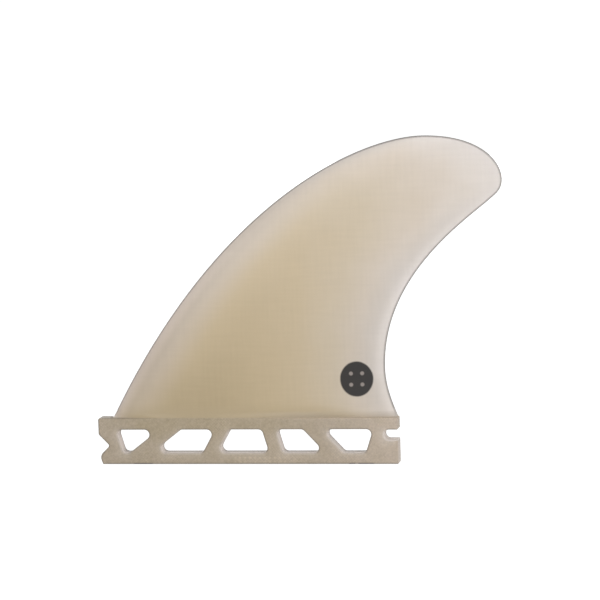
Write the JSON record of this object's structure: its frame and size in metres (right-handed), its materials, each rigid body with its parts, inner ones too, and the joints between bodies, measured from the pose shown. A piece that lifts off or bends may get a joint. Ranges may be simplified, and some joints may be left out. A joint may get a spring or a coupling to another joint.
{
  "type": "surfboard fin",
  "caption": "Raked side fin with a flat inner face and a foiled outer face, on a slim tab pierced by slanted windows, notched at the nose and slotted at the tail.",
  "frame": {"origin": "middle of the tab's foot, halfway through its thickness", "axes": "+X aft, from the tab's nose to its tail; +Y toward the flat inner face; +Z from the tab's foot to the blade's crown"},
  "size_m": [0.163, 0.0064, 0.1282],
  "materials": {
    "laminate": "sanded and gloss-coated glass fibre laminate, pale and slightly see-through where it is thin"
  },
  "bodies": {
    "root": {"fin": "laminate"}
  },
  "joints": []
}
